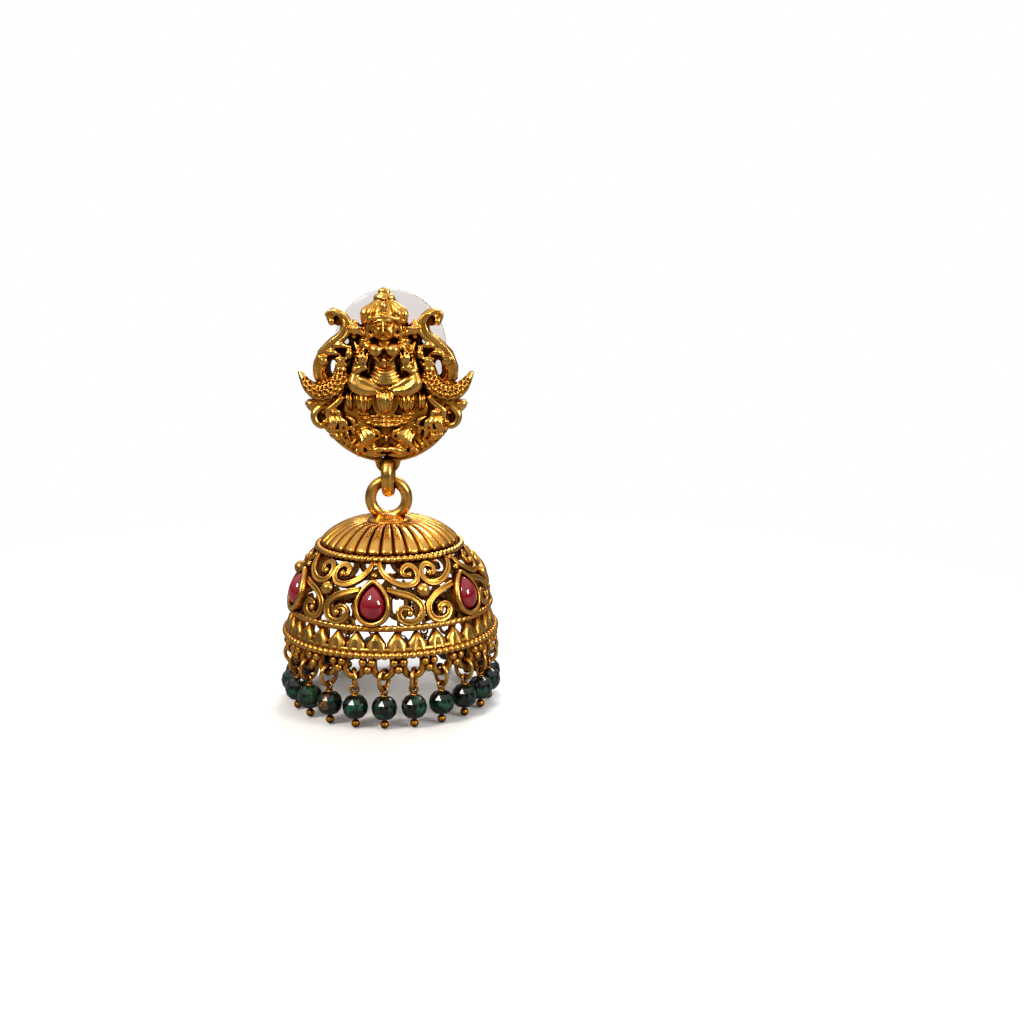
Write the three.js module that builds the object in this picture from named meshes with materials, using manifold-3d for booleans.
// A bell-shaped drop earring: a cast stud with a seated figure, an oval link, and a pierced, stone-set bell
// with a fringe of beads. Millimetres, +Z up, the front faces -Y. The origin is the ear post's axis where
// it leaves the flat back of the stud.
import * as THREE from "three";
import { mergeVertices } from "three/addons/utils/BufferGeometryUtils.js";
import Module from "manifold-3d";

const wasm = await Module();
wasm.setup();

const DEG = Math.PI / 180;

// Driving dimensions of the stud and its fittings
const PLATE_THICK = 1.2;
const BASIN_RADIUS = 8.64;
const BASIN_DROP = 4.68;
const POST_RADIUS = 0.45;
const POST_LENGTH = 11;
const LOBE_GAP = 4.8;
const DISC_RADIUS = 6.8;
const DISC_THICK = 0.7;
const HUB_RADIUS = 2;
const HUB_LENGTH = 3.4;
const LUG_HOLE_RADIUS = 0.9;
const LUG_RIM = 0.6;
const LUG_SUNK = 0.07;

// The oval link: its wire is wider from side to side than it is thick
const LINK_WIRE_THICK = 1.2;
const LINK_WIRE_WIDE = 1.5;
const LINK_HALF_DEPTH = 1.5;

// The bell
const RING_RADIUS = 2.175;
const RING_WIRE = 1.35;
const COLLAR_RADIUS = 2;
const CAP_HEIGHT = 3.5;
const CAP_RIM_RADIUS = 8.5;
const CAP_WALL = 0.6;
const FLUTES = 32;
const FLUTE_DEPTH = 0.4;
const WALL_HEIGHT = 7;
const WALL_BULGE = 0.7;
const FILIGREE_THICK = 0.9;
const SCROLL_WIDTH = 0.72;
const UPPER_ROPE_RADIUS = 12;
const ROPE_WIRE = 0.86;
const TILES = 32;
const TILE_BAND_HEIGHT = 3;
const TILE_THICK = 0.6;
const LOWER_ROPE_RADIUS = 12.5;
const STONES = 6;
const STONE_HALF_WIDTH = 1.4;
const STONE_HEIGHT = 3.8;
const STONE_RISE = 1.25;
const BEZEL_WALL = 0.5;
const BEZEL_HEIGHT = 0.75;

// The fringe
const DROPS = 22;
const LOOP_RADIUS = 12;
const LOOP_HALF_WIDTH = 1.12;
const LOOP_WIRE = 0.85;
const LOOP_REACH = 2.65;
const JUMP_HALF_WIDTH = 1.05;
const JUMP_HALF_HEIGHT = 1.15;
const JUMP_WIRE = 0.5;
const JUMP_TURN = 30;
const PIN_RADIUS = 0.22;
const BEAD_DIAMETER = 3;
const BEAD_HEIGHT = 2.75;
const BALL_END_RADIUS = 0.5;

// Where the repeats start, in degrees to the right of the front
const STONE_START = -5;
const TILE_START = 8.3;
const FLUTE_START = -2.5;
const CLUSTER_START = 9;

// Running clearances
const SLIP = 0.12;
const SEAT = 0.2;

// Edges shorter than this close up where pieces are joined
const JOIN_TOLERANCE = 0.01;

// Values that follow from the dimensions
const LUG_DOWN = -BASIN_RADIUS + LUG_SUNK;
const LUG_Z = LUG_DOWN - BASIN_DROP;
const HANG_Y = -PLATE_THICK / 2;
const LINK_HALF_HEIGHT =
  (LUG_HOLE_RADIUS + LUG_RIM + SEAT + RING_WIRE + SLIP + LINK_WIRE_THICK / 2) / 2;
const BELL_Z = LUG_Z - 2 * LINK_HALF_HEIGHT + LINK_WIRE_THICK / 2 + SLIP + RING_WIRE / 2;
const CAP_TOP = -2 * RING_RADIUS - 0.1;
const CAP_RIM = CAP_TOP - CAP_HEIGHT;
const UPPER_ROPE = CAP_RIM - WALL_HEIGHT;
const LOWER_ROPE = UPPER_ROPE - TILE_BAND_HEIGHT;
const LOOP_BOTTOM = LOWER_ROPE - LOOP_REACH;
const JUMP_CENTRE = LOOP_BOTTOM + LOOP_WIRE / 2 + SLIP + JUMP_WIRE / 2 - JUMP_HALF_HEIGHT;
const EYE_RADIUS = JUMP_WIRE + PIN_RADIUS;
const EYE_CENTRE = JUMP_CENTRE - JUMP_HALF_HEIGHT;
const BEAD_CENTRE = EYE_CENTRE - EYE_RADIUS - SLIP - BEAD_HEIGHT / 2;

const FINISHES = {
  gold: { color: "#c8902e", roughness: 0.32, metalness: 1 },
  ruby: { color: "#8c1420", roughness: 0.08, metalness: 0 },
  green: { color: "#0b3b24", roughness: 0.1, metalness: 0 },
  clear: { color: "#f0ecea", roughness: 0.15, metalness: 0, transparent: true, opacity: 0.4 },
};

// A closed geometry as a solid with its faces outwards.
function solid(geometry) {
  const bare = new THREE.BufferGeometry().setAttribute("position", geometry.getAttribute("position"));
  bare.setIndex(geometry.index);
  const merged = mergeVertices(bare, 1e-4);
  const corners = Array.from(merged.index.array);
  const triVerts = [];
  for (let i = 0; i < corners.length; i += 3) {
    const [a, b, c] = corners.slice(i, i + 3);
    if (a !== b && b !== c && c !== a) triVerts.push(a, b, c);
  }
  const build = (order) =>
    new wasm.Manifold(
      new wasm.Mesh({
        numProp: 3,
        vertProperties: merged.attributes.position.array,
        triVerts: new Uint32Array(order),
        tolerance: JOIN_TOLERANCE,
      }),
    );
  const made = build(triVerts);
  return made.volume() < 0 ? build(triVerts.reverse()) : made;
}

function join(solids) {
  return solids.reduce((whole, piece) => whole.add(piece));
}

function meshOf(name, shape, finish) {
  const made = shape.getMesh();
  const positions = new Float32Array(made.numVert * 3);
  for (let i = 0; i < made.numVert; i++) {
    positions.set(made.vertProperties.subarray(i * made.numProp, i * made.numProp + 3), i * 3);
  }
  const geometry = new THREE.BufferGeometry();
  geometry.setAttribute("position", new THREE.BufferAttribute(positions, 3));
  geometry.setIndex(new THREE.BufferAttribute(made.triVerts, 1));
  geometry.computeVertexNormals();
  const mesh = new THREE.Mesh(geometry, new THREE.MeshStandardMaterial(FINISHES[finish]));
  mesh.name = name;
  return mesh;
}

// Skins a row of rings of equally many points. A closed loft joins its last ring to its first, and an open
// one has a flat lid at each end.
function loft(rings, closed = false) {
  const sides = rings[0].length;
  const spans = closed ? rings.length : rings.length - 1;
  const index = [];
  for (let i = 0; i < spans; i++) {
    const near = i * sides;
    const far = ((i + 1) % rings.length) * sides;
    for (let j = 0; j < sides; j++) {
      const k = (j + 1) % sides;
      index.push(near + j, far + j, far + k, near + j, far + k, near + k);
    }
  }
  if (!closed) {
    const last = (rings.length - 1) * sides;
    for (let j = 1; j < sides - 1; j++) {
      index.push(0, j, j + 1, last, last + j + 1, last + j);
    }
  }
  const numbers = rings.flat().flatMap((point) => [point.x, point.y, point.z]);
  const geometry = new THREE.BufferGeometry();
  geometry.setAttribute("position", new THREE.Float32BufferAttribute(numbers, 3));
  geometry.setIndex(index);
  return geometry;
}

// A closed oval of wire in the XY plane. Its section is an ellipse.
function ovalRing({ halfWidth, halfHeight, thick, wide, steps, sides }) {
  const rings = [];
  for (let i = 0; i < steps; i++) {
    const turn = (2 * Math.PI * i) / steps;
    const centre = new THREE.Vector3(halfWidth * Math.cos(turn), halfHeight * Math.sin(turn), 0);
    const outward = new THREE.Vector3(halfHeight * Math.cos(turn), halfWidth * Math.sin(turn), 0);
    outward.normalize();
    const ring = [];
    for (let j = 0; j < sides; j++) {
      const around = (2 * Math.PI * (j + 0.5)) / sides;
      const point = centre.clone().addScaledVector(outward, (thick / 2) * Math.cos(around));
      point.z += (wide / 2) * Math.sin(around);
      ring.push(point);
    }
    rings.push(ring);
  }
  return loft(rings, true);
}

// A round bar of the relief that swells and tapers along a smooth curve through its stations. A station is
// [x, y, out, radius], in the stud's shares.
function bar(stations, steps, sides) {
  const curve = new THREE.CatmullRomCurve3(
    stations.map(([x, y, out]) => new THREE.Vector3(x * ACROSS, y * ACROSS, out * OUT)),
    false,
    "centripetal",
  );
  const rings = [];
  for (let i = 0; i <= steps; i++) {
    const share = i / steps;
    const centre = curve.getPoint(share);
    const tangent = curve.getTangent(share);
    const across = new THREE.Vector3().crossVectors(tangent, new THREE.Vector3(0, 0, 1)).normalize();
    const up = new THREE.Vector3().crossVectors(across, tangent);
    const place = share * (stations.length - 1);
    const before = Math.min(Math.floor(place), stations.length - 2);
    const onward = place - before;
    const radius =
      ACROSS * THREE.MathUtils.lerp(stations[before][3], stations[before + 1][3], onward);
    const ring = [];
    for (let j = 0; j < sides; j++) {
      const around = (2 * Math.PI * (j + 0.5)) / sides;
      ring.push(
        centre
          .clone()
          .addScaledVector(across, radius * Math.cos(around))
          .addScaledVector(up, radius * Math.sin(around)),
      );
    }
    rings.push(ring);
  }
  return loft(rings);
}

function granule(radius, x, y, z) {
  return new THREE.IcosahedronGeometry(radius, 0).translate(x, y, z);
}

function turned(geometry, degrees) {
  return geometry.clone().rotateZ(degrees * DEG);
}

// The stud is drawn flat, x to the right, y up and z out of the plate, then stood up to face -Y with its
// basin below the post.
function facingFront(geometry) {
  return geometry.clone().translate(0, -BASIN_DROP, 0).rotateX(Math.PI / 2);
}

// The stud is drawn round its basin's centre. Across and up are shares of the basin's radius, and out and
// deep are shares of the plate's thickness, from the plate's back.
const ACROSS = BASIN_RADIUS;
const OUT = PLATE_THICK;

// The plate behind the figure, right half from the crown down to the basin.
const PLATE_SIDE = [
  { x: 0.116, y: 1.259 },
  { x: 0.22, y: 1.097 },
  { x: 0.312, y: 0.889 },
  { x: 0.498, y: 0.796 },
  { x: 0.648, y: 0.646 },
  { x: 0.833, y: 0.495 },
  { x: 0.914, y: 0.287 },
  { x: 0.88, y: 0.102 },
  { x: 0.961, y: -0.06 },
];
const CROWN_TIP = 1.34;
const BASIN_START = 12;

// Through holes beside the necks: half sizes are across and up.
const PIERCINGS = [
  { x: 0.711, y: 0.299, across: 0.049, up: 0.11 },
  { x: 0.532, y: 0.657, across: 0.039, up: 0.049 },
];

// Rounded forms of the relief: centre and half sizes.
const FIGURE_ROUNDS = [
  { part: "face", x: 0, y: 0.773, out: 1.917, across: 0.162, up: 0.185, deep: 1.083 },
  { part: "hair", x: 0, y: 0.831, out: 1.25, across: 0.278, up: 0.197, deep: 0.917 },
  { part: "torso", x: 0, y: 0.333, out: 1.417, across: 0.22, up: 0.301, deep: 1.083 },
  { part: "medallion", x: 0, y: -0.164, out: 1.917, across: 0.133, up: 0.174, deep: 1 },
  { part: "lotus heart", x: 0, y: -0.419, out: 1.583, across: 0.15, up: 0.116, deep: 0.917 },
];

// Rounded forms that come in mirrored pairs.
const PAIRED_ROUNDS = [
  { part: "garland", x: 0.122, y: 0.501, out: 1.917, across: 0.11, up: 0.104, deep: 0.833 },
  { part: "hand", x: 0.301, y: 0.356, out: 1.917, across: 0.069, up: 0.104, deep: 0.667 },
  { part: "inner petal", x: 0.249, y: -0.176, out: 1.583, across: 0.127, up: 0.15, deep: 0.917 },
  { part: "outer petal", x: 0.44, y: -0.164, out: 1.25, across: 0.093, up: 0.15, deep: 0.833 },
  { part: "lower petal", x: 0.231, y: -0.407, out: 1.333, across: 0.162, up: 0.104, deep: 0.833 },
  { part: "top bud", x: 0.399, y: 0.825, out: 1, across: 0.093, up: 0.104, deep: 0.75 },
  { part: "side bud", x: 1.013, y: -0.188, out: 1, across: 0.11, up: 0.081, deep: 0.667 },
];

// Bars of the relief, in mirrored pairs: stations are [x, y, out, radius].
const PAIRED_BARS = [
  {
    part: "neck scroll",
    steps: 8,
    stations: [
      [0.712, 0.924, 0.833, 0.052],
      [0.677, 1.039, 1, 0.072],
      [0.532, 0.97, 1.167, 0.081],
      [0.544, 0.75, 1.167, 0.087],
      [0.764, 0.588, 1.167, 0.087],
      [0.903, 0.38, 1, 0.081],
      [0.897, 0.137, 0.833, 0.081],
    ],
  },
  {
    part: "crescent tail",
    steps: 7,
    stations: [
      [0.596, 0.391, 1.083, 0.069],
      [0.608, 0.148, 1.333, 0.122],
      [0.729, -0.002, 1.333, 0.127],
      [0.92, -0.037, 1.25, 0.11],
      [1.065, 0.067, 1.083, 0.075],
      [1.169, 0.241, 0.917, 0.035],
    ],
  },
  {
    part: "arm",
    steps: 3,
    stations: [
      [0.197, 0.576, 1.333, 0.093],
      [0.37, 0.38, 1.5, 0.081],
      [0.417, 0.148, 1.667, 0.081],
    ],
  },
  {
    part: "leg",
    steps: 4,
    stations: [
      [0.44, 0.16, 1.5, 0.069],
      [0.382, 0.056, 1.667, 0.116],
      [0.023, -0.014, 2, 0.069],
    ],
  },
  {
    part: "outer volute",
    steps: 5,
    stations: [
      [0.729, -0.083, 1, 0.058],
      [0.937, -0.269, 1.083, 0.058],
      [0.891, -0.454, 1.167, 0.058],
      [0.729, -0.384, 1.25, 0.069],
    ],
  },
  {
    part: "upper leaf",
    steps: 2,
    stations: [
      [0.359, -0.477, 1.083, 0.041],
      [0.579, -0.546, 1.333, 0.087],
      [0.822, -0.558, 1, 0.029],
    ],
  },
  {
    part: "lower leaf",
    steps: 2,
    stations: [
      [0.069, -0.639, 1.083, 0.035],
      [0.231, -0.708, 1.333, 0.081],
      [0.417, -0.801, 1, 0.029],
    ],
  },
];

function oval({ x, y, out, across, up, deep }) {
  return granule(1, 0, 0, 0)
    .scale(across * ACROSS, up * ACROSS, deep * OUT)
    .translate(x * ACROSS, y * ACROSS, out * OUT);
}

function mirrored(geometry) {
  return geometry.clone().scale(-1, 1, 1);
}

function plateShape() {
  const shape = new THREE.Shape();
  shape.moveTo(0, CROWN_TIP * ACROSS);
  PLATE_SIDE.forEach(({ x, y }) => shape.lineTo(x * ACROSS, y * ACROSS));
  shape.absarc(0, 0, BASIN_RADIUS, -BASIN_START * DEG, (BASIN_START - 180) * DEG, true);
  [...PLATE_SIDE].reverse().forEach(({ x, y }) => shape.lineTo(-x * ACROSS, y * ACROSS));
  shape.closePath();
  return shape;
}

// The tiered crown: radii and heights along its axis, half sunk into the plate.
function crown() {
  const tiers = [
    { radius: 0, height: 0.877 },
    { radius: 0.289, height: 0.889 },
    { radius: 0.255, height: 1.028 },
    { radius: 0.139, height: 1.19 },
    { radius: 0.069, height: 1.329 },
    { radius: 0, height: 1.398 },
  ];
  const profile = tiers.map(
    ({ radius, height }) => new THREE.Vector2(radius * ACROSS, height * ACROSS),
  );
  return new THREE.LatheGeometry(profile, 8).scale(1, 1, 0.6).translate(0, 0, 1.333 * OUT);
}

function makeStud() {
  const plate = new THREE.ExtrudeGeometry(plateShape(), {
    depth: PLATE_THICK,
    bevelEnabled: false,
    curveSegments: 8,
  });
  const lug = new THREE.CylinderGeometry(
    LUG_HOLE_RADIUS + LUG_RIM,
    LUG_HOLE_RADIUS + LUG_RIM,
    PLATE_THICK,
    16,
  );
  lug.rotateX(Math.PI / 2).translate(0, LUG_DOWN, PLATE_THICK / 2);
  const pairs = [
    ...PAIRED_ROUNDS.map(oval),
    ...PAIRED_BARS.map(({ stations, steps }) => bar(stations, steps, 5)),
  ];
  const raised = [
    crown(),
    ...FIGURE_ROUNDS.map(oval),
    ...pairs,
    ...pairs.map(mirrored),
  ];
  const relief = join(raised.map((piece) => solid(facingFront(piece))));
  const through = 4 * PLATE_THICK;
  const cuts = PIERCINGS.flatMap(({ x, y, across, up }) =>
    [x, -x].map((side) =>
      new THREE.CylinderGeometry(1, 1, 2 * through, 10)
        .rotateX(Math.PI / 2)
        .scale(across * ACROSS, up * ACROSS, 1)
        .translate(side * ACROSS, y * ACROSS, 0),
    ),
  );
  const lugHole = new THREE.CylinderGeometry(LUG_HOLE_RADIUS, LUG_HOLE_RADIUS, 2 * through, 16);
  cuts.push(lugHole.rotateX(Math.PI / 2).translate(0, LUG_DOWN, 0));
  const metal = solid(facingFront(plate)).add(solid(facingFront(lug))).add(relief);
  const pierced = cuts.reduce((whole, cut) => whole.subtract(solid(facingFront(cut))), metal);
  const postProfile = [
    new THREE.Vector2(0, -PLATE_THICK / 2),
    new THREE.Vector2(POST_RADIUS, -PLATE_THICK / 2),
    new THREE.Vector2(POST_RADIUS, POST_LENGTH - POST_RADIUS),
    new THREE.Vector2(0, POST_LENGTH),
  ];
  return pierced.add(solid(new THREE.LatheGeometry(postProfile, 10)));
}

// The clear push-on disc, with the hub that grips the post. It turns about the post's axis.
function makeClutch() {
  const bore = POST_RADIUS + SLIP;
  const profile = [
    new THREE.Vector2(bore, LOBE_GAP),
    new THREE.Vector2(DISC_RADIUS, LOBE_GAP),
    new THREE.Vector2(DISC_RADIUS, LOBE_GAP + DISC_THICK),
    new THREE.Vector2(HUB_RADIUS, LOBE_GAP + DISC_THICK),
    new THREE.Vector2(HUB_RADIUS, LOBE_GAP + HUB_LENGTH),
    new THREE.Vector2(bore, LOBE_GAP + HUB_LENGTH),
    new THREE.Vector2(bore, LOBE_GAP),
  ];
  return solid(new THREE.LatheGeometry(profile, 18));
}

function makeLink() {
  const oval = ovalRing({
    halfWidth: LINK_HALF_DEPTH,
    halfHeight: LINK_HALF_HEIGHT,
    thick: LINK_WIRE_THICK,
    wide: LINK_WIRE_WIDE,
    steps: 14,
    sides: 6,
  });
  return solid(oval.rotateX(Math.PI / 2).rotateZ(Math.PI / 2));
}

// The pierced wall's middle surface from the upper rope up to the cap's rim, as radius and height.
const wallLow = new THREE.Vector2(UPPER_ROPE_RADIUS, UPPER_ROPE);
const wallHigh = new THREE.Vector2(CAP_RIM_RADIUS, CAP_RIM);
const wallAlong = wallHigh.clone().sub(wallLow);
const WALL_LENGTH = wallAlong.length();
const wallOut = new THREE.Vector2(wallAlong.y, -wallAlong.x).normalize();
const wallCurve = new THREE.QuadraticBezierCurve(
  wallLow,
  wallLow.clone().add(wallHigh).multiplyScalar(0.5).addScaledVector(wallOut, 2 * WALL_BULGE),
  wallHigh,
);
const SECTOR_ANGLE = (2 * Math.PI) / STONES;
// The flat pattern's width is taken a little above the upper rope.
const SECTOR_WIDTH = UPPER_ROPE_RADIUS * SECTOR_ANGLE * 0.95;

// Bends a point of the flat pattern onto the wall: a share of the sector across, a share of the wall's
// length up, and millimetres out of the wall's middle surface.
function onWall(across, up, out) {
  const middle = wallCurve.getPoint(up);
  const along = wallCurve.getTangent(up);
  const radius = middle.x + along.y * out;
  const height = middle.y - along.x * out;
  const angle = across * SECTOR_ANGLE;
  return new THREE.Vector3(radius * Math.sin(angle), -radius * Math.cos(angle), height);
}

// Centre lines of one half sector's two scrolls: share of the sector from the stone's axis, and share of
// the wall's length above the upper rope.
const TOP_SCROLL = [
  { across: 0.07, up: 0.96 },
  { across: 0.15, up: 0.74 },
  { across: 0.3, up: 0.61 },
  { across: 0.46, up: 0.63 },
  { across: 0.485, up: 0.79 },
  { across: 0.41, up: 0.9 },
  { across: 0.33, up: 0.8 },
];
const LOW_SCROLL = [
  { across: 0.12, up: 0.56 },
  { across: 0.28, up: 0.52 },
  { across: 0.41, up: 0.47 },
  { across: 0.48, up: 0.33 },
  { across: 0.45, up: 0.12 },
  { across: 0.31, up: 0.06 },
  { across: 0.25, up: 0.2 },
  { across: 0.34, up: 0.25 },
];

// A scroll is a flat band of the filigree's thickness that follows its centre line round the wall, and
// narrows a little towards its curl.
function scroll(centreLine, side) {
  const middles = centreLine.map(
    ({ across, up }) => new THREE.Vector2(across * SECTOR_WIDTH, up * WALL_LENGTH),
  );
  const rings = middles.map((middle, i) => {
    const before = middles[Math.max(i - 1, 0)];
    const after = middles[Math.min(i + 1, middles.length - 1)];
    const along = after.clone().sub(before).normalize();
    const half = (SCROLL_WIDTH / 2) * (1 - (0.2 * i) / (middles.length - 1));
    const corner = (lean, out) =>
      onWall(
        (side * (middle.x - lean * half * along.y)) / SECTOR_WIDTH,
        (middle.y + lean * half * along.x) / WALL_LENGTH,
        out,
      );
    // The root is thinner, so that it ends inside what it is soldered to.
    const deep = i === 0 ? FILIGREE_THICK / 4 : FILIGREE_THICK / 2;
    return [corner(-1, -deep), corner(-1, deep), corner(1, deep), corner(1, -deep)];
  });
  return loft(rings);
}

// A pointed drop outline round the origin, pointed upwards: as an angle runs once round, the width goes as
// its sine times the root of its half angle's sine, and the height as its cosine.
const DROP_WIDEST = 0.8624;
function teardrop(halfWidth, height, points) {
  const outline = [];
  for (let i = 0; i < points; i++) {
    const turn = (2 * Math.PI * i) / points;
    const swell = (Math.sin(turn) * Math.sqrt(Math.sin(turn / 2))) / DROP_WIDEST;
    outline.push({ x: halfWidth * swell, y: (height / 2) * Math.cos(turn) });
  }
  return outline;
}

// A drop-shaped block on the wall at the stone's place, between two heights, with shares of its outline.
const STONE_UP = 0.365;
function dropBlock(halfWidth, height, layers) {
  const rings = layers.map(({ out, share }) =>
    teardrop(halfWidth, height, 10).map(({ x, y }) =>
      onWall((x * share) / SECTOR_WIDTH, STONE_UP + (y * share) / WALL_LENGTH, out),
    ),
  );
  return loft(rings);
}

const BEZEL_FLOOR = -0.1;
function makeStone(degrees) {
  const low = BEZEL_FLOOR + SLIP;
  const layers = [
    { out: low, share: 1 },
    { out: low + 0.45 * STONE_RISE, share: 0.94 },
    { out: low + 0.85 * STONE_RISE, share: 0.62 },
    { out: low + STONE_RISE, share: 0.2 },
  ];
  return solid(turned(dropBlock(STONE_HALF_WIDTH, STONE_HEIGHT, layers), degrees));
}

function bezel(degrees) {
  const pocketHalf = STONE_HALF_WIDTH + SLIP;
  const pocketHeight = STONE_HEIGHT + 3 * SLIP;
  const outer = dropBlock(pocketHalf + BEZEL_WALL, pocketHeight + 2.2 * BEZEL_WALL, [
    { out: -FILIGREE_THICK / 2, share: 1 },
    { out: BEZEL_HEIGHT, share: 1 },
  ]);
  const pocket = dropBlock(pocketHalf, pocketHeight, [
    { out: BEZEL_FLOOR, share: 1 },
    { out: BEZEL_HEIGHT + 1, share: 1 },
  ]);
  return {
    cup: solid(turned(outer, degrees)),
    pocket: solid(turned(pocket, degrees)),
  };
}

function upperRope() {
  const torus = new THREE.TorusGeometry(UPPER_ROPE_RADIUS, ROPE_WIRE / 2, 6, TILES);
  const seam = TILE_START - 90 + 180 / TILES;
  return solid(turned(torus.translate(0, 0, UPPER_ROPE), seam));
}

// A ring round the bell's axis, skinned over a profile that alternates between two forms, so that it rises
// and falls once for each repeat.
function alternatingRing(repeats, start, profileOf) {
  const rings = [];
  for (let i = 0; i < 2 * repeats; i++) {
    const angle = (start + (180 * i) / repeats) * DEG;
    rings.push(
      profileOf(i % 2 === 0).map(
        ({ radius, height }) =>
          new THREE.Vector3(radius * Math.sin(angle), -radius * Math.cos(angle), height),
      ),
    );
  }
  return solid(loft(rings, true));
}

// The cap's shoulder, as shares of its rim's radius and of its height.
const SHOULDER_WIDTH = 0.72;
const SHOULDER_DROP = 0.38;

// The fluted cap: a thin dome whose outside rises and falls once for each flute, with a rope at its rim.
function cap() {
  const shoulder = CAP_TOP - CAP_HEIGHT * SHOULDER_DROP;
  const shoulderRadius = CAP_RIM_RADIUS * SHOULDER_WIDTH;
  return alternatingRing(FLUTES, FLUTE_START, (ridge) => {
    const lift = (ridge ? 0.5 : -0.5) * FLUTE_DEPTH;
    return [
      { radius: COLLAR_RADIUS * 0.6, height: CAP_TOP - 0.1 },
      { radius: shoulderRadius + 0.4 * lift, height: shoulder + lift },
      { radius: CAP_RIM_RADIUS - 0.1 + 0.6 * lift, height: CAP_RIM + ROPE_WIRE / 2 + lift },
      { radius: CAP_RIM_RADIUS + ROPE_WIRE / 2, height: CAP_RIM },
      { radius: CAP_RIM_RADIUS - 0.1, height: CAP_RIM - ROPE_WIRE / 2 },
      { radius: shoulderRadius - CAP_WALL / 2, height: shoulder - CAP_WALL },
    ];
  });
}

function collar() {
  const top = CAP_TOP + RING_WIRE / 2;
  const profile = [
    new THREE.Vector2(0, top),
    new THREE.Vector2(COLLAR_RADIUS * 0.75, top - 0.1),
    new THREE.Vector2(COLLAR_RADIUS, CAP_TOP - 0.2),
    new THREE.Vector2(COLLAR_RADIUS, CAP_TOP - CAP_WALL - 0.3),
    new THREE.Vector2(0, CAP_TOP - CAP_WALL - 0.3),
  ];
  return solid(new THREE.LatheGeometry(profile, 10).rotateX(Math.PI / 2));
}

function hangingRing() {
  const oval = ovalRing({
    halfWidth: RING_RADIUS,
    halfHeight: RING_RADIUS,
    thick: RING_WIRE,
    wide: RING_WIRE,
    steps: 14,
    sides: 6,
  });
  return solid(oval.rotateX(Math.PI / 2).translate(0, 0, -RING_RADIUS));
}

// The band of pointed tiles over the lower rope: its upper edge is low between the tiles and meets the upper
// rope at each tile's tip.
function tileBand() {
  const between = UPPER_ROPE - TILE_BAND_HEIGHT * 0.62;
  return alternatingRing(TILES, TILE_START, (tip) => {
    const top = tip ? UPPER_ROPE : between;
    const share = (top - LOWER_ROPE) / TILE_BAND_HEIGHT;
    const topRadius = THREE.MathUtils.lerp(LOWER_ROPE_RADIUS, UPPER_ROPE_RADIUS, share);
    const half = tip ? TILE_THICK / 3 : TILE_THICK / 2;
    return [
      { radius: LOWER_ROPE_RADIUS + ROPE_WIRE / 2, height: LOWER_ROPE },
      { radius: topRadius + half, height: top },
      { radius: topRadius - half, height: top },
      { radius: LOOP_RADIUS, height: LOWER_ROPE - ROPE_WIRE / 2 },
    ];
  });
}

// One half loop of wire below the lower rope: two legs and a half circle.
function halfLoop(degrees) {
  const centre = LOOP_BOTTOM + LOOP_HALF_WIDTH;
  const middles = [0, 0.2, 0.4, 0.6, 0.8, 1].map((share) => ({
    x: -LOOP_HALF_WIDTH * Math.cos(Math.PI * share),
    z: share % 1 === 0 ? LOWER_ROPE : centre - LOOP_HALF_WIDTH * Math.sin(Math.PI * share),
    turn: Math.PI * share,
  }));
  const sides = 4;
  const rings = middles.map(({ x, z, turn }) => {
    const ring = [];
    for (let j = 0; j < sides; j++) {
      const around = (2 * Math.PI * (j + 0.5)) / sides;
      const outward = (LOOP_WIRE / 2) * Math.cos(around);
      ring.push(
        new THREE.Vector3(
          x - outward * Math.cos(turn),
          -LOOP_RADIUS + (LOOP_WIRE / 2) * Math.sin(around),
          z - outward * Math.sin(turn),
        ),
      );
    }
    return ring;
  });
  return solid(turned(loft(rings), degrees));
}

function wallBall(across, up, radius, degrees) {
  const centre = onWall(across, up, 0.2);
  return solid(turned(granule(radius, centre.x, centre.y, centre.z), degrees));
}

const MIDDLE_BALL_RADIUS = 1;
const TIP_BALL_RADIUS = 0.55;
function makeBell() {
  const pieces = [
    hangingRing(),
    collar(),
    cap(),
    upperRope(),
    tileBand(),
  ];
  const pockets = [];
  for (let i = 0; i < STONES; i++) {
    const degrees = STONE_START + (360 * i) / STONES;
    for (const side of [-1, 1]) {
      pieces.push(solid(turned(scroll(TOP_SCROLL, side), degrees)));
      pieces.push(solid(turned(scroll(LOW_SCROLL, side), degrees)));
    }
    const { cup, pocket } = bezel(degrees);
    pieces.push(cup);
    pockets.push(pocket);
    pieces.push(wallBall(0.5, 0.51, MIDDLE_BALL_RADIUS, degrees));
    pieces.push(wallBall(0, 0.745, TIP_BALL_RADIUS, degrees));
  }
  const step = 360 / DROPS;
  for (let i = 0; i < DROPS; i++) {
    pieces.push(halfLoop(CLUSTER_START + (i + 0.5) * step));
  }
  return pockets.reduce((whole, pocket) => whole.subtract(pocket), join(pieces));
}

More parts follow.
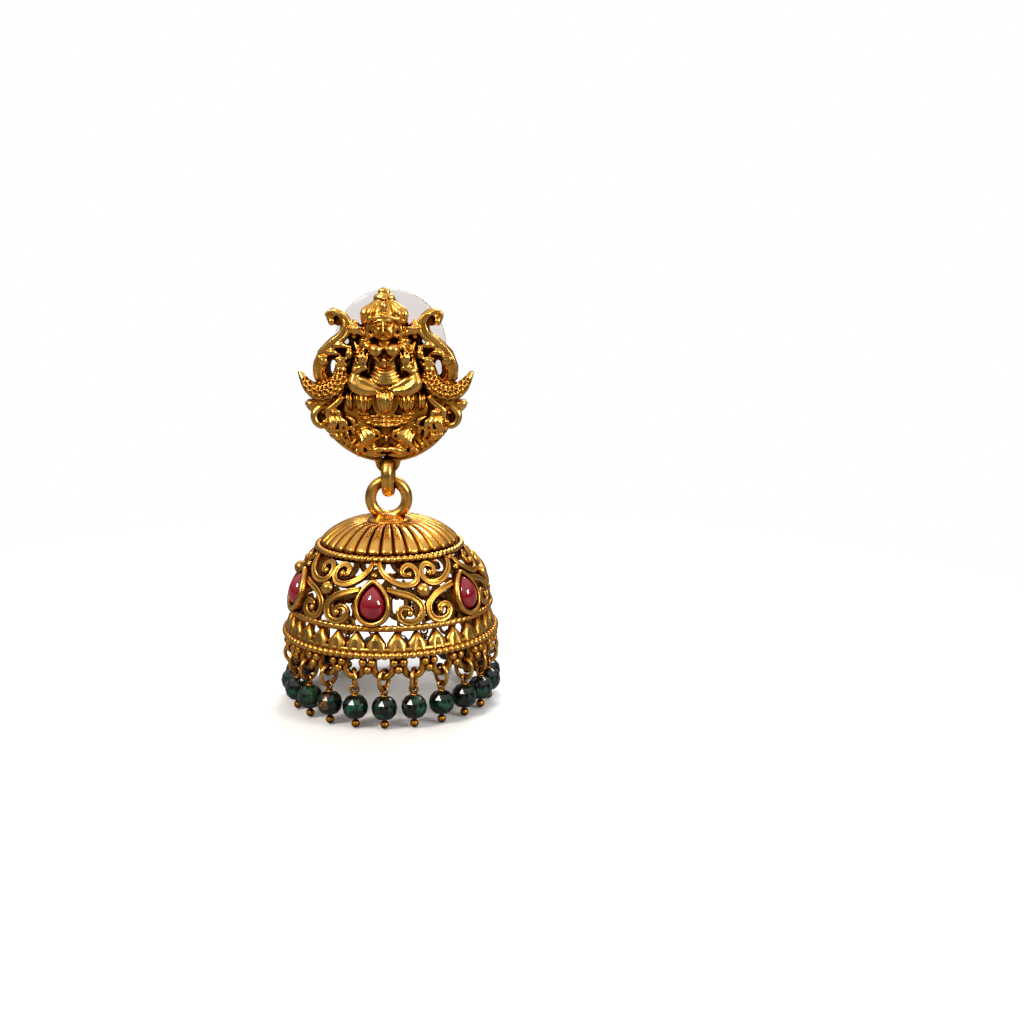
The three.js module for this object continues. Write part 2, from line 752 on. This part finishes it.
// One bead's fittings in one piece: the jump ring through its half loop, the wrapped eye, the pin and the
// ball end. Drawn at the bell's axis, so that it can be turned and then moved out.
function makeDropWire(ringTurn) {
  const jump = ovalRing({
    halfWidth: JUMP_HALF_WIDTH,
    halfHeight: JUMP_HALF_HEIGHT,
    thick: JUMP_WIRE,
    wide: JUMP_WIRE,
    steps: 10,
    sides: 5,
  });
  jump.rotateX(Math.PI / 2).rotateZ(Math.PI / 2 + ringTurn).translate(0, 0, JUMP_CENTRE);
  const ball = BEAD_CENTRE - BEAD_HEIGHT / 2 - SLIP - BALL_END_RADIUS;
  const profile = [
    new THREE.Vector2(0, EYE_CENTRE + EYE_RADIUS),
    new THREE.Vector2(EYE_RADIUS, EYE_CENTRE),
    new THREE.Vector2(PIN_RADIUS, EYE_CENTRE - EYE_RADIUS),
    new THREE.Vector2(PIN_RADIUS, ball + BALL_END_RADIUS),
    new THREE.Vector2(BALL_END_RADIUS, ball),
    new THREE.Vector2(0, ball - BALL_END_RADIUS),
  ];
  return solid(jump).add(solid(new THREE.LatheGeometry(profile, 5).rotateX(Math.PI / 2)));
}

// A faceted bead, drilled along its axis.
function makeBead() {
  const hole = PIN_RADIUS + 1.2 * SLIP;
  const wide = BEAD_DIAMETER / 2;
  const tall = BEAD_HEIGHT / 2;
  const profile = [
    new THREE.Vector2(hole, -tall),
    new THREE.Vector2(wide, -tall * 0.45),
    new THREE.Vector2(wide, tall * 0.45),
    new THREE.Vector2(hole, tall),
    new THREE.Vector2(hole, -tall),
  ];
  return solid(new THREE.LatheGeometry(profile, 10).rotateX(Math.PI / 2).translate(0, 0, BEAD_CENTRE));
}

// The earring: the link hangs in the stud's lug and the bell hangs in the link.
const earring = new THREE.Group();
earring.add(meshOf("stud", makeStud(), "gold"));
earring.add(meshOf("clutch_disc", makeClutch(), "clear"));

const hanging = new THREE.Group();
hanging.position.set(0, HANG_Y, 0);
earring.add(hanging);

const link = meshOf("link", makeLink(), "gold");
link.position.z = LUG_Z - LINK_HALF_HEIGHT;
hanging.add(link);

const bell = new THREE.Group();
bell.position.z = BELL_Z;
hanging.add(bell);
bell.add(meshOf("bell", makeBell(), "gold"));

const twoDigits = (number) => String(number).padStart(2, "0");
for (let i = 0; i < STONES; i++) {
  const stone = makeStone(STONE_START + (360 * i) / STONES);
  bell.add(meshOf("stone_" + twoDigits(i + 1), stone, "ruby"));
}
for (let i = 0; i < DROPS; i++) {
  const degrees = CLUSTER_START + ((i + 0.5) * 360) / DROPS;
  const drop = new THREE.Group();
  drop.rotation.z = degrees * DEG;
  bell.add(drop);
  const wire = meshOf(
    "drop_wire_" + twoDigits(i + 1),
    makeDropWire(JUMP_TURN * DEG * Math.sin(2.4 * i + 1)),
    "gold",
  );
  const bead = meshOf("bead_" + twoDigits(i + 1), makeBead(), "green");
  for (const piece of [wire, bead]) {
    piece.position.y = -LOOP_RADIUS;
    drop.add(piece);
  }
}

export default earring;
